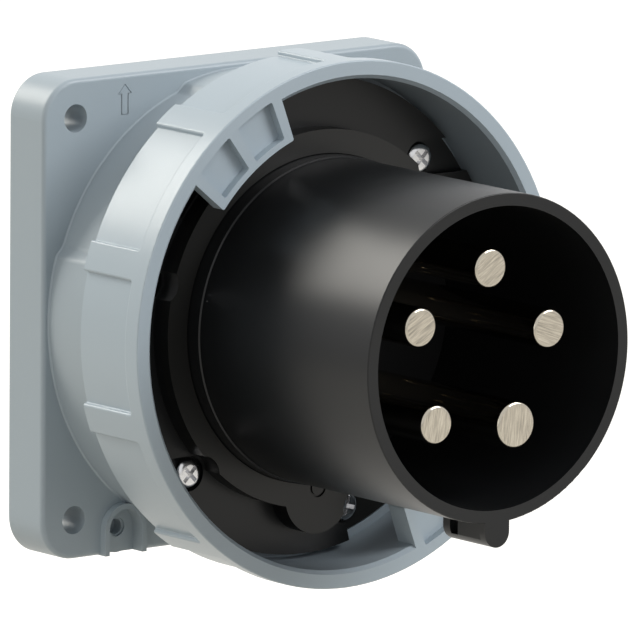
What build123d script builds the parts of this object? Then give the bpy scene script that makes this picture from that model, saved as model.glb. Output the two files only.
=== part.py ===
from build123d import *
import os
from math import cos, radians, sin

# Flanged power inlet, five pins, with a bayonet locking ring.
# Millimetres. +Z is up and the pins point along -Y. The origin is on the inlet's axis, in the
# plane of the flange's back face, which lies against the panel. A "reach" is a distance in front
# of that plane, and a clock angle runs clockwise from 12 o'clock, seen from the front.

# Shroud
shroud_outer_radius = 41.5
shroud_wall = 3.2
shroud_length = 82.0
shroud_rim_edge = 0.3
shroud_foot_step = 0.4
shroud_foot_height = 4.6
shroud_ledge_width = 3.0
shroud_ledge_depth = 0.4
key_width = 7.7
key_height = 6.3
key_length = 16.7
key_front_plate = 2.2
key_rear_plate = 2.7
key_slot_length = 2.6
key_side_recess = 0.45

# Hub, connector seal and clamping plate round the shroud's foot
hub_width = 6.7
hub_height = 2.9
seal_thickness = 2.9
seal_bore_clearance = 0.2
ear_offset = 3.1
ear_radius = 10.5
ear_mark_offset = 1.8
ear_mark_radius = 2.5
ear_mark_width = 0.6
plate_thickness = 4.1
plate_border = 9.1
plate_gap_start = 306.0
plate_gap_span = 40.0
plate_gap_margin = 0.6

# Insert screws, their recesses and their threaded inserts
insert_screw_count = 6
insert_screw_first = 45.0
insert_screw_offset = 3.8
insert_slot_radius = 4.5
insert_slot_depth = 2.3
insert_scoop_radius = 5.3
insert_screw_shank_radius = 2.5
insert_screw_length = 16.0
insert_screw_head_radius = 4.0
insert_screw_head_height = 2.8
cross_slot_width = 1.1
cross_slot_length = 5.2
cross_slot_depth = 1.6
thread_clearance = 0.1
insert_wall = 1.2
insert_length = 11.0
insert_gasket_thickness = 1.0

# Bayonet ring
ring_clearance = 1.4
ring_wall = 4.7
ring_panel_depth = 1.3
ring_length = 24.9
ring_rim_length = 5.4
ring_rib_count = 10
ring_rib_angle = 6.8
ring_rib_edge = 0.6
ring_panel_edge = 0.35
ring_panel_corner = 0.8
ring_front_edge = 0.4
ring_mouth_chamfer = 1.0
ring_lip_height = 2.2
ring_lip_clearance = 0.4
ring_end_play = 0.4
ring_turn = 40.0
ring_stop_play = 0.5
lug_angle = 324.5
lug_span = 30.2
lug_height = 10.5
lug_thin = 3.5
lug_thick = 6.9
lug_edge = 0.5
pocket_span = 10.9
pocket_pitch = 13.8
pocket_lug_wall = 1.6
pocket_rim_wall = 3.0
pocket_depth = 2.3
pocket_corner = 0.6

# Neck of the housing, which carries the ring and the insert
neck_length = 23.5
neck_wall = 4.0
neck_border = 7.6
neck_dip = 1.4
neck_dip_margin = 1.5
neck_dip_slope = 5.5
neck_dip_round = 3.0
neck_root_chamfer = 0.35
neck_end_wall = 3.0
neck_shoulder_length = 2.8
neck_shoulder_clearance = 0.9
neck_journal_length = 2.2
pillar_wall = 3.9
pillar_length = 23.0
stop_angle = 60.0
stop_width = 8.0
stop_clearance = 0.6
stop_foot = 1.0

# Mounting flange
flange_depth = 13.9
flange_border = 1.7
flange_corner_radius = 10.2
flange_edge_radius = 1.2
flange_face_wall = 3.8
flange_side_wall = 4.4
mount_inset = 10.0
mount_hole_radius = 3.6
mount_boss_wall = 3.0
stiffener_thickness = 2.2
stiffener_spread = 11.0
panel_gasket_width = 1.8
panel_gasket_thickness = 1.5
gasket_side_clearance = 0.1

# Drain spout at the bottom left corner of the flange
drain_angle = 213.4
drain_offset = 6.2
drain_spout_radius = 6.55
drain_spout_wall = 1.35
drain_spout_height = 2.15
drain_floor_depth = 2.0
drain_floor_wall = 4.4
drain_hole_radius = 2.0
drain_hole_depth = 3.4
drain_recess_radius = 2.5
drain_recess_depth = 0.6

# Contacts
pin_circle_radius = 21.75
pin_first_angle = 6.0
pin_recess = 6.1
phase_pin_radius = 5.0
earth_pin_radius = 6.0
pin_tip_round = 0.9
pin_collar_step = 0.3
pin_collar_proud = 0.6
pin_bore_clearance = 0.1
barrel_radius = 9.0
barrel_edge = 0.6
barrel_end_play = 0.2
wire_bore_radius = 5.5
wire_bore_depth = 27.0
terminal_screw_radius = 3.9
terminal_screw_length = 8.0
terminal_screw_pitch = 12.0
terminal_screw_from_end = 8.0
terminal_socket_width = 4.0
terminal_socket_depth = 3.5

# Contact carrier, its screws, its seals and the rear retainer
carrier_spigot_length = 13.6
carrier_body_depth = 8.4
carrier_tail_length = 38.0
carrier_clearance = 0.15
carrier_hub_radius = 6.5
carrier_web_thickness = 2.4
carrier_post_radius = 3.6
carrier_ear_radius = 3.0
carrier_ear_offset = 2.7
carrier_ear_thickness = 3.5
carrier_ear_first = 15.0
carrier_ear_count = 3
carrier_ear_clearance = 0.4
oring_section = 1.0
oring_groove_depth = 2.0
oring_groove_width = 2.4
oring_setback = 2.8
pin_ring_section = 0.8
pin_ring_setback = 3.0
small_screw_radius = 1.5
small_screw_length = 9.0
small_screw_head_radius = 2.8
small_screw_head_height = 1.9
small_slot_width = 0.8
small_slot_depth = 0.9
retainer_thickness = 3.0
retainer_border = 5.45
retainer_screw_inset = 3.8
wire_entry_clearance = 0.7

# Radii that follow from the sizes above, from the axis outwards
shroud_bore_radius = shroud_outer_radius - shroud_wall
shroud_foot_radius = shroud_outer_radius + shroud_foot_step
ledge_radius = shroud_bore_radius + shroud_ledge_width
carrier_ear_circle = ledge_radius + carrier_ear_offset
neck_opening_radius = carrier_ear_circle + carrier_ear_radius + carrier_ear_clearance
ear_place_radius = shroud_outer_radius + ear_offset
ear_mark_place_radius = shroud_outer_radius + ear_mark_offset
seal_radius = shroud_outer_radius + hub_width
plate_gap_radius = seal_radius + plate_gap_margin
insert_screw_circle = seal_radius + insert_screw_offset
plate_radius = insert_screw_circle + plate_border
ring_bore_radius = plate_radius + ring_clearance
ring_rim_radius = ring_bore_radius + ring_wall
ring_lip_radius = ring_bore_radius - ring_lip_height
lug_inner_radius = ring_bore_radius - lug_height
pocket_inner_radius = lug_inner_radius + pocket_lug_wall
pocket_outer_radius = ring_rim_radius - pocket_rim_wall
neck_journal_radius = ring_lip_radius - ring_lip_clearance
neck_shoulder_radius = ring_bore_radius - neck_shoulder_clearance
neck_radius = insert_screw_circle + neck_border
retainer_radius = pin_circle_radius + barrel_radius + retainer_border
carrier_post_circle = retainer_radius - retainer_screw_inset
flange_width = 2 * (neck_radius + flange_border)
mount_spacing = flange_width - 2 * mount_inset

# Reaches that follow from the sizes above, from the panel forwards
neck_reach = flange_depth + neck_length
plate_back = neck_reach + insert_gasket_thickness
plate_front = plate_back + plate_thickness
hub_front = plate_front + hub_height
seal_front = hub_front + seal_thickness
insert_seat_reach = plate_front - insert_slot_depth
shoulder_front = neck_reach - neck_journal_length
ring_rear = shoulder_front + ring_end_play
ring_front = ring_rear + ring_length
ring_lip_front = plate_back - ring_end_play
ledge_reach = hub_front - shroud_ledge_depth
shroud_rim_reach = plate_back + shroud_length
pin_tip_reach = shroud_rim_reach - pin_recess
carrier_front_reach = plate_back + carrier_spigot_length
carrier_shoulder_reach = plate_back - carrier_body_depth
carrier_rear_reach = carrier_shoulder_reach - carrier_tail_length
oring_reach = carrier_front_reach - oring_setback
pin_ring_reach = carrier_front_reach - pin_ring_setback

# Steps round the axis
pin_pitch = 360.0 / 5
insert_screw_pitch = 360.0 / insert_screw_count
carrier_ear_pitch = 360.0 / carrier_ear_count


def ahead(reach):
    """Plane at this reach, looked at from the front: its X is +X and its Y is +Z."""
    return Plane(origin=(0, -reach, 0), x_dir=(1, 0, 0), z_dir=(0, -1, 0))


def clock_point(radius, angle):
    return (radius * sin(radians(angle)), radius * cos(radians(angle)))


def disc(radius, rear, front, place=(0, 0)):
    return extrude(ahead(rear) * Pos(place[0], place[1]) * Circle(radius), front - rear)


def tube(outer, inner, rear, front):
    return extrude(ahead(rear) * (Circle(outer) - Circle(inner)), front - rear)


def sector_face(inner, outer, start, end):
    """Piece of a flat ring between two clock angles."""
    outside = CenterArc((0, 0), outer, 90 - end, end - start)
    inside = CenterArc((0, 0), inner, 90 - end, end - start)
    sides = [Line(outside @ 1, inside @ 1), Line(inside @ 0, outside @ 0)]
    return make_face([outside, sides[0], inside, sides[1]])


def sector(inner, outer, start, end, rear, front):
    return extrude(ahead(rear) * sector_face(inner, outer, start, end), front - rear)


def rounded_square(width, corner, rear, front):
    return extrude(ahead(rear) * RectangleRounded(width, width, corner), front - rear)


def corner_places():
    half = mount_spacing / 2
    return [(half, half), (half, -half), (-half, -half), (-half, half)]


def screw_angles():
    return [insert_screw_first + insert_screw_pitch * k for k in range(insert_screw_count)]


def pin_angles():
    return [pin_first_angle + pin_pitch * k for k in range(5)]


def web_angles():
    return [angle + pin_pitch / 2 for angle in pin_angles()]


def ear_angles():
    return [carrier_ear_first + carrier_ear_pitch * k for k in range(carrier_ear_count)]


def edges_at(solid, reach, slack=0.01):
    """Edges of a solid that lie in the plane at this reach."""
    return solid.edges().filter_by_position(Axis.Y, -reach - slack, -reach + slack)


def axis_distance(edge):
    """Distance of an edge's middle from the inlet's axis."""
    middle = edge @ 0.5
    return Vector(middle.X, middle.Z).length


def flange_shell():
    """Square flange, open at the back behind its four corners."""
    block = rounded_square(flange_width, flange_corner_radius, 0, flange_depth)
    front_face = block.faces().sort_by(Axis.Y)[0]
    block = fillet(front_face.edges(), flange_edge_radius)
    inner_width = flange_width - 2 * flange_side_wall
    inner_corner = flange_corner_radius - flange_side_wall
    hollow = rounded_square(inner_width, inner_corner, 0, flange_depth - flange_face_wall)
    hollow -= disc(neck_radius, 0, flange_depth)
    return block - hollow


def flange_stiffeners():
    """Three short ribs from the neck to the side walls, behind each corner."""
    boss_radius = mount_hole_radius + mount_boss_wall
    top = flange_depth - flange_face_wall / 2
    room = rounded_square(flange_width - flange_side_wall, flange_corner_radius / 2, 0, top)
    blade_align = (Align.CENTER, Align.MAX, Align.MIN)
    ribs = Part()
    for quarter in range(4):
        for turn in (-stiffener_spread, 0, stiffener_spread):
            angle = 45 + 90 * quarter + turn
            blade = Box(stiffener_thickness, top, flange_width / 2, align=blade_align)
            blade = Pos(0, 0, neck_radius - neck_wall / 2) * blade
            ribs += Rot(0, angle, 0) * blade
    ribs &= room
    for place in corner_places():
        ribs += disc(boss_radius, 0, top, place)
    return ribs


def neck_dip_face(start, end):
    """Shallow dip in the neck's side, between two clock angles, with sloping ends."""
    first = 90 - end - neck_dip_slope
    floor = CenterArc((0, 0), neck_radius - neck_dip, 90 - end, end - start)
    top = CenterArc((0, 0), neck_radius + neck_dip, first, end - start + 2 * neck_dip_slope)
    return make_face([floor, Line(floor @ 1, top @ 1), top, Line(top @ 0, floor @ 0)])


def neck_outline():
    """Round neck with a shallow dip behind each gap of the clamping plate."""
    outline = Circle(neck_radius)
    for side in (0, 180):
        first = insert_screw_first + 4 * insert_screw_pitch + side
        start = first + neck_dip_slope / 2 + neck_dip_margin
        end = first + insert_screw_pitch - neck_dip_slope / 2 - neck_dip_margin
        outline -= neck_dip_face(start, end)
    return fillet(outline.vertices(), neck_dip_round)


def neck_inside():
    """Room behind the neck's end wall, with the pillars left standing."""
    room = disc(neck_radius - neck_dip - neck_wall, 0, neck_reach - neck_end_wall)
    pillar = insert_screw_shank_radius + pillar_wall
    for angle in screw_angles():
        place = clock_point(insert_screw_circle, angle)
        room -= disc(pillar, neck_reach - pillar_length, neck_reach, place)
    room += disc(neck_opening_radius, neck_reach - neck_end_wall, neck_reach)
    return room


def neck_stops():
    """Two blocks on the journal that the ring's lip runs between."""
    outer = ring_bore_radius - stop_clearance
    inner = neck_journal_radius - stop_foot
    blocks = Part()
    for side in (0, 180):
        start = stop_angle + side - stop_width / 2
        blocks += sector(inner, outer, start, start + stop_width, shoulder_front - stop_foot, neck_reach)
    return blocks


def drain_spout():
    """Upside-down U that shields the drain hole and opens downwards: its wall and its hollow."""
    x, z = clock_point(neck_radius + drain_offset, drain_angle)
    floor = flange_depth - drain_floor_depth
    rise = drain_floor_depth + drain_spout_height
    drop = flange_width / 2 + z
    foot = Pos(x, z - drop / 2) * Rectangle(2 * drain_spout_radius, drop)
    outer = Pos(x, z) * Circle(drain_spout_radius) + foot
    inner_radius = drain_spout_radius - drain_spout_wall
    foot = Pos(x, z - drop) * Rectangle(2 * inner_radius, 2 * drop)
    inner = Pos(x, z) * Circle(inner_radius) + foot
    wall = extrude(ahead(floor - drain_floor_wall) * outer, drain_floor_wall + rise)
    hollow = extrude(ahead(floor) * inner, rise)
    hollow += disc(drain_recess_radius, floor - drain_recess_depth, floor, (x, z))
    hollow += disc(drain_hole_radius, floor - drain_hole_depth, floor, (x, z))
    return wall, hollow


def flange_housing():
    """Moulded housing: flange, neck, screw pillars, ring journal and stops."""
    body = flange_shell() + flange_stiffeners()
    neck = extrude(ahead(0) * neck_outline(), neck_reach - neck_journal_length - neck_shoulder_length)
    body += neck
    root = edges_at(body, flange_depth).filter_by(lambda e: axis_distance(e) < neck_radius + 1)
    body = chamfer(root, neck_root_chamfer)
    body += disc(neck_shoulder_radius, shoulder_front - neck_shoulder_length, shoulder_front)
    body += disc(neck_journal_radius, shoulder_front, neck_reach)
    body += neck_stops()
    spout, hollow = drain_spout()
    body += spout
    body -= hollow
    body -= neck_inside()
    for angle in screw_angles():
        place = clock_point(insert_screw_circle, angle)
        hole = insert_screw_shank_radius + insert_wall + thread_clearance
        body -= disc(hole, neck_reach - insert_length, neck_reach, place)
        end = plate_back - insert_screw_length
        body -= disc(insert_screw_shank_radius + thread_clearance, end, neck_reach, place)
    for place in corner_places():
        body -= disc(mount_hole_radius, 0, flange_depth, place)
    body -= gasket_frame(gasket_side_clearance)
    return body


def gasket_frame(clearance):
    """Square frame in the rear rim of the flange."""
    middle = flange_width - flange_side_wall
    corner = flange_corner_radius - flange_side_wall / 2
    half = panel_gasket_width / 2 + clearance
    outer = rounded_square(middle + 2 * half, corner + half, 0, panel_gasket_thickness)
    return outer - rounded_square(middle - 2 * half, corner - half, 0, panel_gasket_thickness)


def lug_pocket(middle):
    start = middle - pocket_span / 2
    face = sector_face(pocket_inner_radius, pocket_outer_radius, start, start + pocket_span)
    face = fillet(face.vertices(), pocket_corner)
    return extrude(ahead(ring_front - pocket_depth) * face, pocket_depth)


def ring_lug():
    """Locking lug with a sloping back and two pockets in its front."""
    start = lug_angle - lug_span / 2
    end = lug_angle + lug_span / 2
    wall = (ring_rim_radius + ring_bore_radius) / 2
    lug = sector(lug_inner_radius, wall, start, end, ring_front - lug_thick, ring_front)
    inner_edges = lug.edges().filter_by(Axis.Y).sort_by(axis_distance)[:2]
    lug = fillet(inner_edges, lug_edge)
    reach = wall * sin(radians(lug_span / 2))
    deep = 2 * lug_thick
    slope = Polygon((-reach, lug_thin), (reach, lug_thick), (reach, deep), (-reach, deep), align=None)
    across = Plane(origin=(0, -ring_front, 0), x_dir=(1, 0, 0), z_dir=(0, 0, 1))
    wedge = extrude(across * slope, ring_rim_radius)
    lug -= Rot(0, lug_angle, 0) * wedge
    for side in (-0.5, 0.5):
        middle = lug_angle + side * pocket_pitch
        lug -= lug_pocket(middle)
    return lug


def ring_pockets():
    """The four pockets in the ring's front, which also bite into its wall."""
    cut = Part()
    for turn in (0, 180):
        for side in (-0.5, 0.5):
            cut += lug_pocket(lug_angle + turn + side * pocket_pitch)
    return cut


def grip_panel(start, end):
    """What is taken off between two ribs: open at the rear, with round front corners."""
    band_rear = ring_front - ring_rim_length
    floor = ring_rim_radius - ring_panel_depth
    tool = sector(floor, ring_rim_radius + ring_panel_depth, start, end, ring_rear, band_rear)
    corners = edges_at(tool, band_rear).filter_by(GeomType.LINE)
    return fillet(corners, ring_panel_corner)


def grip_edges(body, radius):
    """Edges of the panels at this radius, without those at the ring's two ends."""
    edges = body.edges().filter_by(lambda e: abs(axis_distance(e) - radius) < 0.02)
    return edges.filter_by_position(Axis.Y, 0.1 - ring_front, -0.1 - ring_rear)


def bayonet_ring():
    """Locking ring with ten grip ribs, an inner lip at the rear and two lugs at the front."""
    body = disc(ring_rim_radius, ring_rear, ring_front)
    body = fillet(edges_at(body, ring_front), ring_front_edge)
    pitch = 360.0 / ring_rib_count
    for k in range(ring_rib_count):
        start = k * pitch + ring_rib_angle / 2
        body -= grip_panel(start, start + pitch - ring_rib_angle)
    body = fillet(grip_edges(body, ring_rim_radius), ring_rib_edge)
    body = fillet(grip_edges(body, ring_rim_radius - ring_panel_depth), ring_panel_edge)
    body -= disc(ring_bore_radius, ring_lip_front, ring_front)
    body -= disc(ring_lip_radius, ring_rear, ring_lip_front)
    mouth = edges_at(body, ring_front).sort_by(axis_distance)[0]
    body = chamfer(mouth, ring_mouth_chamfer)
    lug = ring_lug()
    body += lug
    body += Rot(0, 180, 0) * lug
    body -= ring_pockets()
    for side in (0, 180):
        start = stop_angle + side - stop_width / 2 - ring_stop_play
        end = stop_angle + side + stop_width / 2 + ring_turn + ring_stop_play
        inner = ring_lip_radius - ring_lip_height
        body -= sector(inner, ring_bore_radius, start, end, ring_rear, ring_lip_front)
    return body


def ear_face(shrink=0.0):
    """Round seat of the connector seal with its ear at 6 o'clock."""
    return Circle(seal_radius - shrink) + Pos(0, -ear_place_radius) * Circle(ear_radius - shrink)


def screw_scoops(rear, front):
    """Hollows that leave room for a driver beside the hub."""
    cut = Part()
    for angle in screw_angles():
        place = clock_point(insert_screw_circle, angle)
        cut += disc(insert_scoop_radius, rear, front, place)
    return cut


def screw_slots():
    """Recess round each screw head, open sideways to the plate's edge."""
    cut = Part()
    for angle in screw_angles():
        x, z = clock_point(insert_screw_circle, angle)
        way = 1 if angle % 360 < 180 else -1
        run = plate_radius
        face = Pos(x, z) * Circle(insert_slot_radius)
        face += Pos(x + way * run / 2, z) * Rectangle(run, 2 * insert_slot_radius)
        cut += extrude(ahead(insert_seat_reach) * face, plate_front - insert_seat_reach)
    return cut


def clamping_plate():
    """Round plate that the insert screws hold, with a gap behind each lug."""
    plate = disc(plate_radius, plate_back, plate_front)
    for side in (0, 180):
        start = plate_gap_start + side
        end = start + plate_gap_span
        gap = sector(plate_gap_radius, plate_radius + 1, start, end, plate_back, plate_front)
        for angle in screw_angles():
            place = clock_point(insert_screw_circle, angle)
            gap -= disc(insert_slot_radius + insert_wall, plate_back, insert_seat_reach, place)
        plate -= gap
    return plate - screw_slots()


def polarising_key():
    """Key at 6 o'clock under the shroud's rim: two end plates and a slimmer, slotted middle."""
    rear = shroud_rim_reach - key_length
    radius = key_width / 2
    low = shroud_outer_radius + key_height
    top = shroud_outer_radius - shroud_wall / 2
    mid = (top + low - radius) / 2
    profile = Pos(0, radius - low) * Circle(radius)
    profile += Pos(0, -mid) * Rectangle(key_width, low - radius - top)
    key = extrude(ahead(rear) * profile, key_length)
    start = rear + key_rear_plate
    end = shroud_rim_reach - key_front_plate
    side = Rectangle(key_side_recess, low)
    offset = radius - key_side_recess / 2
    for way in (-1, 1):
        key -= extrude(ahead(start) * Pos(way * offset, -low) * side, end - start)
    slot_height = low - radius / 2 - shroud_outer_radius
    slot = Pos(0, -shroud_outer_radius - slot_height / 2) * Rectangle(key_width, slot_height)
    key -= extrude(ahead(start) * slot, key_slot_length)
    return key


def shroud():
    """Round collar about the pins, moulded in one with its hub and clamping plate."""
    collar = disc(shroud_outer_radius, plate_back, shroud_rim_reach)
    rim = edges_at(collar, shroud_rim_reach)
    collar = fillet(rim, shroud_rim_edge)
    foot = disc(shroud_foot_radius, plate_back, seal_front + shroud_foot_height)
    foot_edge = edges_at(foot, seal_front + shroud_foot_height)
    foot = chamfer(foot_edge, shroud_foot_step * 0.8)
    hub = extrude(ahead(plate_front) * ear_face(), hub_height)
    hub -= screw_scoops(plate_front, hub_front)
    body = clamping_plate() + disc(plate_gap_radius, plate_back, plate_front)
    body -= screw_slots()
    body = body + hub + foot + collar + polarising_key()
    body -= disc(shroud_bore_radius, plate_back, shroud_rim_reach)
    body -= disc(ledge_radius, plate_back, ledge_reach)
    for angle in screw_angles():
        place = clock_point(insert_screw_circle, angle)
        body -= disc(insert_screw_shank_radius + thread_clearance, plate_back, insert_seat_reach, place)
    for angle in ear_angles():
        place = clock_point(carrier_ear_circle, angle)
        depth = small_screw_length - carrier_ear_thickness + 1
        body -= disc(small_screw_radius + thread_clearance, plate_back, plate_back + depth, place)
    return body


def connector_seal():
    """Rubber washer about the shroud's foot that the connector's rim presses on."""
    body = extrude(ahead(hub_front) * ear_face(), seal_thickness)
    body -= disc(shroud_foot_radius + seal_bore_clearance, hub_front, seal_front)
    body -= screw_scoops(hub_front, seal_front)
    floor = seal_front - ear_mark_width
    mark = tube(ear_mark_radius, ear_mark_radius - ear_mark_width, floor, seal_front)
    return body - Pos(0, 0, -ear_mark_place_radius) * mark


def insert_gasket():
    """Flat rubber ring between the neck and the clamping plate."""
    outer = neck_journal_radius - thread_clearance
    body = tube(outer, neck_opening_radius + thread_clearance, neck_reach, plate_back)
    for angle in screw_angles():
        place = clock_point(insert_screw_circle, angle)
        body -= disc(insert_screw_shank_radius + 3 * thread_clearance, neck_reach, plate_back, place)
    return body


def insert_screw(angle):
    """Pan head screw with a cross slot."""
    place = clock_point(insert_screw_circle, angle)
    top = insert_seat_reach + insert_screw_head_height
    head = disc(insert_screw_head_radius, insert_seat_reach, top, place)
    head = fillet(edges_at(head, top), insert_screw_head_height * 0.6)
    bar = Rectangle(cross_slot_length, cross_slot_width)
    cross = Pos(place[0], place[1]) * (Rot(0, 0, angle) * (bar + Rot(0, 0, 90) * bar))
    head -= extrude(ahead(top - cross_slot_depth) * cross, cross_slot_depth)
    end = insert_seat_reach - insert_screw_length
    shank = disc(insert_screw_shank_radius, end, insert_seat_reach, place)
    tip = edges_at(shank, end)
    return head + chamfer(tip, insert_screw_shank_radius * 0.3)


def threaded_insert(angle):
    """Brass bush in a pillar that takes an insert screw."""
    place = clock_point(insert_screw_circle, angle)
    outer = insert_screw_shank_radius + insert_wall
    rear = neck_reach - insert_length
    bore = insert_screw_shank_radius + thread_clearance
    return disc(outer, rear, neck_reach, place) - disc(bore, rear, neck_reach, place)


def terminal_axis(angle, reach):
    """Plane whose Z points outwards from the inlet's axis at this clock angle."""
    x, z = clock_point(1, angle)
    return Plane(origin=(0, -reach, 0), x_dir=(0, -1, 0), z_dir=(x, 0, z))


def terminal_reaches():
    first = carrier_rear_reach + barrel_end_play + terminal_screw_from_end
    return [first, first + terminal_screw_pitch]


def contact_pin(angle, radius):
    """Turned contact: round-ended pin in front, screw terminal barrel behind."""
    place = clock_point(pin_circle_radius, angle)
    rear = carrier_rear_reach + barrel_end_play
    pin = disc(radius, carrier_shoulder_reach, pin_tip_reach, place)
    pin = fillet(edges_at(pin, pin_tip_reach), pin_tip_round)
    collar = radius + pin_collar_step
    pin += disc(collar, carrier_shoulder_reach, carrier_front_reach + pin_collar_proud, place)
    groove = [pin_ring_reach - pin_ring_section, pin_ring_reach + pin_ring_section]
    waist = disc(barrel_radius, *groove, place) - disc(collar - 2 * pin_ring_section, *groove, place)
    barrel = disc(barrel_radius, rear, carrier_shoulder_reach, place)
    ends = edges_at(barrel, rear) + edges_at(barrel, carrier_shoulder_reach)
    barrel = chamfer(ends, barrel_edge)
    body = pin - waist + barrel
    body -= disc(wire_bore_radius, rear, rear + wire_bore_depth, place)
    for reach in terminal_reaches():
        hole = Circle(terminal_screw_radius + thread_clearance)
        way = terminal_axis(angle, reach) * Pos(0, 0, pin_circle_radius)
        body -= extrude(way * hole, 2 * barrel_radius)
    return body


def terminal_screw(angle, reach):
    """Socket set screw that clamps the conductor, backed out of the wire bore."""
    start = pin_circle_radius + wire_bore_radius + thread_clearance
    axis = terminal_axis(angle, reach)
    body = extrude(axis * Pos(0, 0, start) * Circle(terminal_screw_radius), terminal_screw_length)
    socket = RegularPolygon(terminal_socket_width / 2, 6, major_radius=False)
    top = start + terminal_screw_length
    return body - extrude(axis * Pos(0, 0, top - terminal_socket_depth) * socket, terminal_socket_depth)


def carrier_web(angle):
    """Insulating wall between two terminals, with a post for a retainer screw."""
    height = carrier_shoulder_reach - carrier_rear_reach
    wall_align = (Align.CENTER, Align.MAX, Align.MIN)
    wall = Box(carrier_web_thickness, height, carrier_post_circle, align=wall_align)
    wall = Rot(0, angle, 0) * (Pos(0, -carrier_rear_reach, 0) * wall)
    place = clock_point(carrier_post_circle, angle)
    return wall + disc(carrier_post_radius, carrier_rear_reach, carrier_shoulder_reach, place)


def contact_carrier(pin_radii):
    """Insulating block that holds the five contacts and fits into the shroud from behind."""
    spigot = shroud_bore_radius - carrier_clearance
    flange = ledge_radius - carrier_clearance
    body = disc(spigot, carrier_shoulder_reach, carrier_front_reach)
    body += disc(flange, carrier_shoulder_reach, ledge_reach)
    for angle in ear_angles():
        place = clock_point(carrier_ear_circle, angle)
        ear = disc(carrier_ear_radius, plate_back - carrier_ear_thickness, plate_back, place)
        inner = clock_point(carrier_ear_circle - carrier_ear_radius * 2, angle)
        ear += disc(carrier_ear_radius, plate_back - carrier_ear_thickness, plate_back, inner)
        body += ear
    body += disc(carrier_hub_radius, carrier_rear_reach, carrier_shoulder_reach)
    for angle in web_angles():
        body += carrier_web(angle)
    half = oring_groove_width / 2
    body -= tube(spigot + 1, spigot - oring_groove_depth, oring_reach - half, oring_reach + half)
    for angle, radius in zip(pin_angles(), pin_radii):
        place = clock_point(pin_circle_radius, angle)
        bore = radius + pin_collar_step + pin_bore_clearance
        body -= disc(bore, carrier_shoulder_reach, carrier_front_reach, place)
    for angle in ear_angles():
        place = clock_point(carrier_ear_circle, angle)
        rear = plate_back - carrier_ear_thickness
        body -= disc(small_screw_radius + thread_clearance, rear, plate_back, place)
    for angle in web_angles():
        place = clock_point(carrier_post_circle, angle)
        end = carrier_rear_reach + small_screw_length
        body -= disc(small_screw_radius + thread_clearance, carrier_rear_reach, end, place)
    return body


def carrier_oring():
    """Round-section ring that seals the carrier in the shroud."""
    spigot = shroud_bore_radius - carrier_clearance
    middle = spigot - oring_section + thread_clearance / 2
    return ahead(oring_reach) * Torus(middle, oring_section)


def pin_seal(angle, radius):
    """Small round-section ring in the groove of a pin."""
    x, z = clock_point(pin_circle_radius, angle)
    section = pin_ring_section - thread_clearance / 2
    middle = radius + pin_collar_step - section + thread_clearance / 2
    return ahead(pin_ring_reach) * Pos(x, z) * Torus(middle, section)


def small_screw(place, seat):
    """Slotted screw, put in from the rear."""
    top = seat - small_screw_head_height
    head = disc(small_screw_head_radius, top, seat, place)
    head = chamfer(edges_at(head, top), small_screw_head_height * 0.3)
    slot = Pos(place[0], place[1]) * Rectangle(3 * small_screw_head_radius, small_slot_width)
    head -= extrude(ahead(top) * slot, small_slot_depth)
    return head + disc(small_screw_radius, seat, seat + small_screw_length, place)


def contact_retainer():
    """Rear plate that keeps the contacts in the carrier and guides the conductors."""
    rear = carrier_rear_reach - retainer_thickness
    body = disc(retainer_radius, rear, carrier_rear_reach)
    body = chamfer(edges_at(body, rear), retainer_thickness / 4)
    for angle in pin_angles():
        place = clock_point(pin_circle_radius, angle)
        body -= disc(wire_bore_radius + wire_entry_clearance, rear, carrier_rear_reach, place)
    for angle in web_angles():
        place = clock_point(carrier_post_circle, angle)
        body -= disc(small_screw_radius + thread_clearance, rear, carrier_rear_reach, place)
    return body


def group(solids):
    return Compound([piece for solid in solids for piece in solid.solids()])


pin_names = ["pin_l1", "pin_l2", "pin_earth", "pin_l3", "pin_neutral"]
pin_radii = [phase_pin_radius, phase_pin_radius, earth_pin_radius, phase_pin_radius, phase_pin_radius]
earth_angle = pin_angles()[pin_names.index("pin_earth")]
phase_angles = [angle for angle in pin_angles() if angle != earth_angle]
rear_seat = carrier_rear_reach - retainer_thickness
ear_seat = plate_back - carrier_ear_thickness
post_places = [clock_point(carrier_post_circle, angle) for angle in web_angles()]
ear_places = [clock_point(carrier_ear_circle, angle) for angle in ear_angles()]
terminal_places = [(angle, reach) for angle in phase_angles for reach in terminal_reaches()]

nodes = {
    "flange_housing": flange_housing(),
    "panel_gasket": gasket_frame(0),
    "bayonet_ring": bayonet_ring(),
    "shroud": shroud(),
    "connector_seal": connector_seal(),
    "insert_gasket": insert_gasket(),
    "insert_screws": group([insert_screw(angle) for angle in screw_angles()]),
    "threaded_inserts": group([threaded_insert(angle) for angle in screw_angles()]),
    "contact_carrier": contact_carrier(pin_radii),
    "carrier_oring": carrier_oring(),
    "contact_retainer": contact_retainer(),
    "phase_terminal_screws": group([terminal_screw(*place) for place in terminal_places]),
    "earth_terminal_screws": group([terminal_screw(earth_angle, r) for r in terminal_reaches()]),
    "pin_seals": group([pin_seal(angle, radius) for angle, radius in zip(pin_angles(), pin_radii)]),
    "retainer_screws": group([small_screw(place, rear_seat) for place in post_places]),
    "carrier_screws": group([small_screw(place, ear_seat) for place in ear_places]),
}
for name, angle, radius in zip(pin_names, pin_angles(), pin_radii):
    nodes[name] = contact_pin(angle, radius)

os.makedirs("parts", exist_ok=True)
for name, shape in nodes.items():
    export_step(shape, f"parts/{name}.step")
    print(name, len(shape.solids()), round(shape.volume, 1))
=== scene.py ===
import math

import bmesh
import bpy
from mathutils import Matrix, Vector


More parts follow.
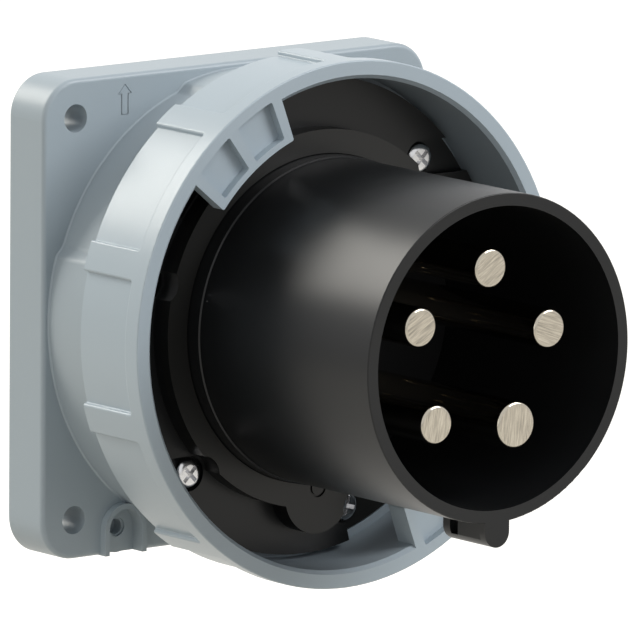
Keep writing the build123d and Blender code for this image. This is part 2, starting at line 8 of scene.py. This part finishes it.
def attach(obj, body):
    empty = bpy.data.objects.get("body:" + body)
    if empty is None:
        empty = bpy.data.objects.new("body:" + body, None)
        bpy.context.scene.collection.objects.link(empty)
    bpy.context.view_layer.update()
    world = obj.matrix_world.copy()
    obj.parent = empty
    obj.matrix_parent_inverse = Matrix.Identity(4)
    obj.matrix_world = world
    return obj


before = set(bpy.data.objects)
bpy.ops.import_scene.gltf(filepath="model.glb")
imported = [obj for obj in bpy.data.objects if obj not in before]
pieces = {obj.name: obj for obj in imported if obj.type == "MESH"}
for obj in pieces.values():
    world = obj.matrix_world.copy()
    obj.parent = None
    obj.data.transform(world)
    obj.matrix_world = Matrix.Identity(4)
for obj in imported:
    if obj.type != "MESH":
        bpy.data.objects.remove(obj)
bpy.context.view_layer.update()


# Flange housing
# The square flange, its drain spout and the round neck are one moulding of cool light grey
# thermoplastic with a satin face. Four screws through the corner holes hold it on a panel.
#
# Its finish is a faint unevenness that all the mouldings share: a cloudy change of tone and
# of gloss, and a fine bump. The inputs say how big and how strong. The gloss changes twice
# as much as the tone.
gloss_swing = 2.0
bump_height = 0.0002
noise_middle = 0.5
grain = bpy.data.node_groups.new("moulding_grain", "ShaderNodeTree")
for label, kind, value in (
    ("Colour", "NodeSocketColor", (0.5, 0.5, 0.5, 1.0)),
    ("Roughness", "NodeSocketFloat", 0.4),
    ("Cloud scale", "NodeSocketFloat", 40.0),
    ("Cloud", "NodeSocketFloat", 0.03),
    ("Grain scale", "NodeSocketFloat", 2500.0),
    ("Bump", "NodeSocketFloat", 0.02),
):
    socket = grain.interface.new_socket(name=label, in_out="INPUT", socket_type=kind)
    socket.default_value = value
for label, kind in (
    ("Colour", "NodeSocketColor"),
    ("Roughness", "NodeSocketFloat"),
    ("Normal", "NodeSocketVector"),
):
    grain.interface.new_socket(name=label, in_out="OUTPUT", socket_type=kind)
nodes = grain.nodes
links = grain.links
given = nodes.new("NodeGroupInput")
place = nodes.new("ShaderNodeTexCoord")
cloud = nodes.new("ShaderNodeTexNoise")
cloud.inputs["Detail"].default_value = 3.0
links.new(place.outputs["Object"], cloud.inputs["Vector"])
links.new(given.outputs["Cloud scale"], cloud.inputs["Scale"])
swing = nodes.new("ShaderNodeMath")
swing.operation = "SUBTRACT"
swing.inputs[1].default_value = noise_middle
links.new(cloud.outputs["Fac"], swing.inputs[0])
change = nodes.new("ShaderNodeMath")
change.operation = "MULTIPLY"
links.new(swing.outputs[0], change.inputs[0])
links.new(given.outputs["Cloud"], change.inputs[1])
tone = nodes.new("ShaderNodeMath")
tone.operation = "ADD"
tone.inputs[1].default_value = 1.0
links.new(change.outputs[0], tone.inputs[0])
tinted = nodes.new("ShaderNodeVectorMath")
tinted.operation = "SCALE"
links.new(given.outputs["Colour"], tinted.inputs[0])
links.new(tone.outputs[0], tinted.inputs["Scale"])
gloss = nodes.new("ShaderNodeMath")
gloss.operation = "MULTIPLY_ADD"
gloss.inputs[1].default_value = gloss_swing
links.new(change.outputs[0], gloss.inputs[0])
links.new(given.outputs["Roughness"], gloss.inputs[2])
fine = nodes.new("ShaderNodeTexNoise")
fine.inputs["Detail"].default_value = 2.0
links.new(place.outputs["Object"], fine.inputs["Vector"])
links.new(given.outputs["Grain scale"], fine.inputs["Scale"])
bump = nodes.new("ShaderNodeBump")
bump.inputs["Distance"].default_value = bump_height
links.new(given.outputs["Bump"], bump.inputs["Strength"])
links.new(fine.outputs["Fac"], bump.inputs["Height"])
result = nodes.new("NodeGroupOutput")
links.new(tinted.outputs[0], result.inputs["Colour"])
links.new(gloss.outputs[0], result.inputs["Roughness"])
links.new(bump.outputs["Normal"], result.inputs["Normal"])


def moulding(name, colour, roughness, ior):
    """A moulded plastic or rubber: its colour and gloss, with the shared grain in them."""
    material = bpy.data.materials.new(name)
    material.use_nodes = True
    tree = material.node_tree
    surface = tree.nodes["Principled BSDF"]
    surface.inputs["IOR"].default_value = ior
    look = tree.nodes.new("ShaderNodeGroup")
    look.node_tree = grain
    look.inputs["Colour"].default_value = (*colour, 1.0)
    look.inputs["Roughness"].default_value = roughness
    tree.links.new(look.outputs["Colour"], surface.inputs["Base Color"])
    tree.links.new(look.outputs["Roughness"], surface.inputs["Roughness"])
    tree.links.new(look.outputs["Normal"], surface.inputs["Normal"])
    return material


housing_grey = moulding("housing_grey", (0.330, 0.385, 0.425), roughness=0.36, ior=1.43)
pieces["flange_housing"].material_slots[0].material = housing_grey


# Up arrow on the flange
# The outline of an arrow moulded a hair proud of the flange's front, near its upper left
# corner. It shows which way up the inlet is fixed. It is part of the moulding, so it has
# its plastic and rides with it. Sizes and places are in metres.
flange_front = -0.0139
arrow_middle = -0.0358
tail_z = 0.0510
barb_z = 0.0563
tip_z = 0.0587
half_shaft = 0.0010
half_head = 0.0020
line_width = 0.00020
line_height = 0.00015
drawn = bmesh.new()
corners = [
    drawn.verts.new((arrow_middle + x, flange_front, z))
    for x, z in (
        (half_shaft, tail_z), (half_shaft, barb_z), (half_head, barb_z), (0.0, tip_z),
        (-half_head, barb_z), (-half_shaft, barb_z), (-half_shaft, tail_z),
    )
]
inside = drawn.faces.new(corners)
bmesh.ops.inset_region(
    drawn, faces=[inside], use_boundary=True, use_even_offset=True, thickness=line_width
)
bmesh.ops.delete(drawn, geom=[inside], context="FACES_ONLY")
raised = bmesh.ops.extrude_face_region(drawn, geom=drawn.faces[:], use_keep_orig=True)
top = [part for part in raised["geom"] if isinstance(part, bmesh.types.BMVert)]
bmesh.ops.translate(drawn, verts=top, vec=(0.0, -line_height, 0.0))
bmesh.ops.recalc_face_normals(drawn, faces=drawn.faces[:])
mesh = bpy.data.meshes.new("up_arrow")
drawn.to_mesh(mesh)
drawn.free()
mesh.materials.append(housing_grey)
arrow = bpy.data.objects.new("up_arrow", mesh)
bpy.context.scene.collection.objects.link(arrow)
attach(arrow, "inlet")


# Bayonet ring
# The locking ring that the other half of the plug pair hooks into. It is moulded from the
# same plastic as the housing, in a tool with a finer polish, so it is a shade lighter and
# smoother. It snaps over the neck and turns on it.
ring_grey = moulding("ring_grey", (0.370, 0.435, 0.485), roughness=0.29, ior=1.43)
pieces["bayonet_ring"].material_slots[0].material = ring_grey


# Shroud
# The black collar round the pins, with its hub, its clamping plate and the key at the
# bottom. It is one moulding of stiff black thermoplastic with a soft sheen, drawn out of
# its tool along its length and held in the neck by six screws.
shroud_black = moulding("shroud_black", (0.0070, 0.0075, 0.0082), roughness=0.34, ior=1.385)
pieces["shroud"].material_slots[0].material = shroud_black


# Connector seal and gaskets
# The washer round the shroud's foot, the two flat gaskets and the small round-section rings
# on the carrier and the pins. All are moulded or cut from dark rubber, with a dull sheen,
# and each is held by being squeezed between the pieces beside it.
seal_rubber = moulding("seal_rubber", (0.010, 0.010, 0.0095), roughness=0.36, ior=1.40)
for name in ("connector_seal", "insert_gasket", "panel_gasket", "carrier_oring", "pin_seals"):
    pieces[name].material_slots[0].material = seal_rubber


# Contact carrier and retainer
# The insulating block that the pins sit in and the plate that keeps them there from behind.
# Both are moulded from a duller black plastic and are screwed together from the back.
carrier_black = moulding("carrier_black", (0.010, 0.010, 0.011), roughness=0.5, ior=1.40)
for name in ("contact_carrier", "contact_retainer"):
    pieces[name].material_slots[0].material = carrier_black


# Contact pins and threaded bushes
# The five contacts are turned from brass bar, with a pale plating, and are mirror-smooth on
# the round side. They are pushed into the carrier from behind. The six bushes in the
# housing's pillars have the same plated brass.
#
# The last facing cut leaves fine parallel scratches on a pin's flat end. They run one way on
# each pin, so the turn is an input, in radians, and a mask keeps them off the round side.
plated_brass = (0.48, 0.44, 0.37, 1.0)
along_scratches = 150.0
across_scratches = 2600.0
darkest_scratch = 0.62
brightest_scratch = 1.38
scratch_depth = 0.0001
faces_front = -0.97
scratch = bpy.data.node_groups.new("brushed_end", "ShaderNodeTree")
for label, kind, value in (
    ("Colour", "NodeSocketColor", (0.5, 0.5, 0.5, 1.0)),
    ("Turn", "NodeSocketFloat", 0.0),
    ("Side roughness", "NodeSocketFloat", 0.1),
    ("End roughness", "NodeSocketFloat", 0.3),
    ("Depth", "NodeSocketFloat", 0.3),
):
    socket = scratch.interface.new_socket(name=label, in_out="INPUT", socket_type=kind)
    socket.default_value = value
for label, kind in (
    ("Colour", "NodeSocketColor"),
    ("Roughness", "NodeSocketFloat"),
    ("Normal", "NodeSocketVector"),
):
    scratch.interface.new_socket(name=label, in_out="OUTPUT", socket_type=kind)
nodes = scratch.nodes
links = scratch.links
given = nodes.new("NodeGroupInput")
place = nodes.new("ShaderNodeTexCoord")
turned = nodes.new("ShaderNodeVectorRotate")
turned.rotation_type = "Y_AXIS"
links.new(place.outputs["Object"], turned.inputs["Vector"])
links.new(given.outputs["Turn"], turned.inputs["Angle"])
stretch = nodes.new("ShaderNodeMapping")
stretch.inputs["Scale"].default_value = (along_scratches, 1.0, across_scratches)
links.new(turned.outputs["Vector"], stretch.inputs["Vector"])
lines = nodes.new("ShaderNodeTexNoise")
lines.inputs["Scale"].default_value = 1.0
lines.inputs["Detail"].default_value = 4.0
lines.inputs["Roughness"].default_value = 0.65
links.new(stretch.outputs["Vector"], lines.inputs["Vector"])
facing = nodes.new("ShaderNodeSeparateXYZ")
links.new(place.outputs["Normal"], facing.inputs[0])
flat = nodes.new("ShaderNodeMath")
flat.operation = "LESS_THAN"
flat.inputs[1].default_value = faces_front
links.new(facing.outputs["Y"], flat.inputs[0])
spread = nodes.new("ShaderNodeMapRange")
spread.inputs["From Min"].default_value = 0.3
spread.inputs["From Max"].default_value = 0.7
spread.inputs["To Min"].default_value = darkest_scratch
spread.inputs["To Max"].default_value = brightest_scratch
links.new(lines.outputs["Fac"], spread.inputs["Value"])
shade = nodes.new("ShaderNodeMix")
shade.data_type = "FLOAT"
shade.inputs["A"].default_value = 1.0
links.new(flat.outputs[0], shade.inputs["Factor"])
links.new(spread.outputs["Result"], shade.inputs["B"])
tinted = nodes.new("ShaderNodeVectorMath")
tinted.operation = "SCALE"
links.new(given.outputs["Colour"], tinted.inputs[0])
links.new(shade.outputs["Result"], tinted.inputs["Scale"])
gloss = nodes.new("ShaderNodeMix")
gloss.data_type = "FLOAT"
links.new(flat.outputs[0], gloss.inputs["Factor"])
links.new(given.outputs["Side roughness"], gloss.inputs["A"])
links.new(given.outputs["End roughness"], gloss.inputs["B"])
cut = nodes.new("ShaderNodeMath")
cut.operation = "MULTIPLY"
links.new(flat.outputs[0], cut.inputs[0])
links.new(given.outputs["Depth"], cut.inputs[1])
bump = nodes.new("ShaderNodeBump")
bump.inputs["Distance"].default_value = scratch_depth
links.new(cut.outputs[0], bump.inputs["Strength"])
links.new(lines.outputs["Fac"], bump.inputs["Height"])
result = nodes.new("NodeGroupOutput")
links.new(tinted.outputs[0], result.inputs["Colour"])
links.new(gloss.outputs["Result"], result.inputs["Roughness"])
links.new(bump.outputs["Normal"], result.inputs["Normal"])


def contact_brass(name, turn):
    """Plated brass with its end scratches turned by an angle of their own."""
    material = bpy.data.materials.new(name)
    material.use_nodes = True
    tree = material.node_tree
    surface = tree.nodes["Principled BSDF"]
    surface.inputs["Metallic"].default_value = 1.0
    look = tree.nodes.new("ShaderNodeGroup")
    look.node_tree = scratch
    look.inputs["Colour"].default_value = plated_brass
    look.inputs["Turn"].default_value = turn
    look.inputs["Side roughness"].default_value = 0.09
    look.inputs["End roughness"].default_value = 0.24
    look.inputs["Depth"].default_value = 0.35
    tree.links.new(look.outputs["Colour"], surface.inputs["Base Color"])
    tree.links.new(look.outputs["Roughness"], surface.inputs["Roughness"])
    tree.links.new(look.outputs["Normal"], surface.inputs["Normal"])
    return material


for name, turn in (
    ("pin_l1", 0.55),
    ("pin_l2", -0.35),
    ("pin_earth", 1.48),
    ("pin_l3", 1.40),
    ("pin_neutral", 0.50),
):
    pieces[name].material_slots[0].material = contact_brass("contact_brass_" + name, turn)
bush_brass = pieces["pin_neutral"].material_slots[0].material
pieces["threaded_inserts"].material_slots[0].material = bush_brass


# Screws
# The six pan heads that hold the shroud, the screws of the carrier and the retainer, and the
# terminals' socket screws. They are cold-headed steel with a bright zinc plating.
screw_steel = bpy.data.materials.new("screw_steel")
screw_steel.use_nodes = True
surface = screw_steel.node_tree.nodes["Principled BSDF"]
surface.inputs["Base Color"].default_value = (0.64, 0.64, 0.65, 1.0)
surface.inputs["Metallic"].default_value = 1.0
surface.inputs["Roughness"].default_value = 0.2
for name in (
    "insert_screws", "carrier_screws", "retainer_screws",
    "phase_terminal_screws", "earth_terminal_screws",
):
    pieces[name].material_slots[0].material = screw_steel


# Floor
# A plain pale floor some way under the inlet. The camera sees it as white with the shadow
# on it, and mirrors see it about as bright as the white around it. It throws back less
# light than it shows, so that the underside stays in shade.
floor_z = -0.32
floor_side = 40.0
glow_to_camera = 0.85
glow_to_mirrors = 0.50
bpy.ops.mesh.primitive_plane_add(size=floor_side, location=(0.0, 0.0, floor_z))
floor = bpy.context.object
floor.name = "floor"
floor_white = bpy.data.materials.new("floor_white")
floor_white.use_nodes = True
nodes = floor_white.node_tree.nodes
links = floor_white.node_tree.links
nodes.remove(nodes["Principled BSDF"])
matt = nodes.new("ShaderNodeBsdfDiffuse")
matt.inputs["Color"].default_value = (0.42, 0.40, 0.36, 1.0)
rays = nodes.new("ShaderNodeLightPath")
shown = nodes.new("ShaderNodeMath")
shown.operation = "MAXIMUM"
links.new(rays.outputs["Is Camera Ray"], shown.inputs[0])
links.new(rays.outputs["Is Transmission Ray"], shown.inputs[1])
lift = nodes.new("ShaderNodeMath")
lift.operation = "MULTIPLY"
lift.inputs[1].default_value = glow_to_camera
links.new(shown.outputs[0], lift.inputs[0])
shine = nodes.new("ShaderNodeMath")
shine.operation = "MULTIPLY_ADD"
shine.inputs[1].default_value = glow_to_mirrors
links.new(rays.outputs["Is Glossy Ray"], shine.inputs[0])
links.new(lift.outputs[0], shine.inputs[2])
glow = nodes.new("ShaderNodeEmission")
links.new(shine.outputs[0], glow.inputs["Strength"])
both = nodes.new("ShaderNodeAddShader")
links.new(matt.outputs[0], both.inputs[0])
links.new(glow.outputs[0], both.inputs[1])
links.new(both.outputs[0], nodes["Material Output"].inputs["Surface"])
floor.data.materials.append(floor_white)


# World
# White at a strength of 1 where the camera, a mirror or glass shows it. As light it is a
# soft fill that fades from above to below, warmer from behind than from the front.
fill_below = 0.40
fill_above = 0.58
warm_behind = (0.88, 0.865, 0.81, 1.0)
cool_in_front = (1.12, 1.145, 1.19, 1.0)
studio = bpy.data.worlds.new("studio")
bpy.context.scene.world = studio
studio.use_nodes = True
nodes = studio.node_tree.nodes
links = studio.node_tree.links
air = nodes["Background"]
place = nodes.new("ShaderNodeTexCoord")
split = nodes.new("ShaderNodeSeparateXYZ")
links.new(place.outputs["Generated"], split.inputs[0])
high = nodes.new("ShaderNodeMapRange")
high.inputs["From Min"].default_value = -1.0
high.inputs["From Max"].default_value = 1.0
high.inputs["To Min"].default_value = fill_below
high.inputs["To Max"].default_value = fill_above
links.new(split.outputs["Z"], high.inputs["Value"])
ahead = nodes.new("ShaderNodeMapRange")
ahead.inputs["From Min"].default_value = 0.6
ahead.inputs["From Max"].default_value = -1.0
links.new(split.outputs["Y"], ahead.inputs["Value"])
tint = nodes.new("ShaderNodeMix")
tint.data_type = "RGBA"
tint.inputs["A"].default_value = warm_behind
tint.inputs["B"].default_value = cool_in_front
links.new(ahead.outputs["Result"], tint.inputs["Factor"])
rays = nodes.new("ShaderNodeLightPath")
shown = rays.outputs["Is Camera Ray"]
for kind in ("Is Glossy Ray", "Is Transmission Ray"):
    either = nodes.new("ShaderNodeMath")
    either.operation = "MAXIMUM"
    links.new(shown, either.inputs[0])
    links.new(rays.outputs[kind], either.inputs[1])
    shown = either.outputs[0]
strength = nodes.new("ShaderNodeMix")
strength.data_type = "FLOAT"
strength.inputs["B"].default_value = 1.0
links.new(shown, strength.inputs["Factor"])
links.new(high.outputs["Result"], strength.inputs["A"])
links.new(strength.outputs["Result"], air.inputs["Strength"])
white = nodes.new("ShaderNodeMix")
white.data_type = "RGBA"
white.inputs["B"].default_value = (1.0, 1.0, 1.0, 1.0)
links.new(shown, white.inputs["Factor"])
links.new(tint.outputs["Result"], white.inputs["A"])
links.new(white.outputs["Result"], air.inputs["Color"])


# Lights
# A large soft box behind and above, which draws the highlight along the upper left of every
# round form, a broad one high on the right front, whose shadow of the ring falls on the
# flange, and a weaker one on the left. Places and sides are in metres, power in watts.
aim = Vector((0.0, -0.05, 0.0))
for name, spot, watts, wide, tall, colour in (
    ("back_box", (-0.80, 1.35, 1.16), 29.0, 1.2, 1.0, (1.0, 0.97, 0.90)),
    ("front_box", (1.1, -1.45, 1.35), 36.0, 1.2, 1.2, (1.0, 1.0, 1.0)),
    ("left_box", (-2.2, -0.2, 0.3), 7.0, 1.2, 1.2, (1.0, 0.98, 0.93)),
):
    light = bpy.data.lights.new(name, "AREA")
    light.shape = "RECTANGLE"
    light.size = wide
    light.size_y = tall
    light.energy = watts
    light.color = colour
    lamp = bpy.data.objects.new(name, light)
    bpy.context.scene.collection.objects.link(lamp)
    lamp.location = spot
    lamp.rotation_euler = (aim - Vector(spot)).to_track_quat("-Z", "Y").to_euler()


# Camera
# The photograph's viewpoint: from the left front, a little above, with a long lens. Angles
# are in radians, places in metres and the sensor in millimetres. The lens is measured in
# pixels of the photograph's frame.
yaw = 0.6675
pitch = 0.1699
roll = 0.0079
distance = 3.60129
target = Vector((-0.0090214, -0.060, 0.0021558))
lens_in_pixels = 14346.1
frame_in_pixels = 640.0
sensor_width = 36.0
camera_turn = (
    Matrix.Rotation(-yaw, 4, "Z")
    @ Matrix.Rotation(math.pi / 2 - pitch, 4, "X")
    @ Matrix.Rotation(roll, 4, "Z")
)
stand_off = Matrix.Translation((0.0, 0.0, distance))
camera = bpy.data.objects.new("camera", bpy.data.cameras.new("camera"))
bpy.context.scene.collection.objects.link(camera)
camera.matrix_world = Matrix.Translation(target) @ camera_turn @ stand_off
camera.data.sensor_width = sensor_width
camera.data.lens = lens_in_pixels / frame_in_pixels * sensor_width
camera.data.clip_end = 100.0
bpy.context.scene.camera = camera

bpy.context.scene.view_settings.view_transform = "Standard"
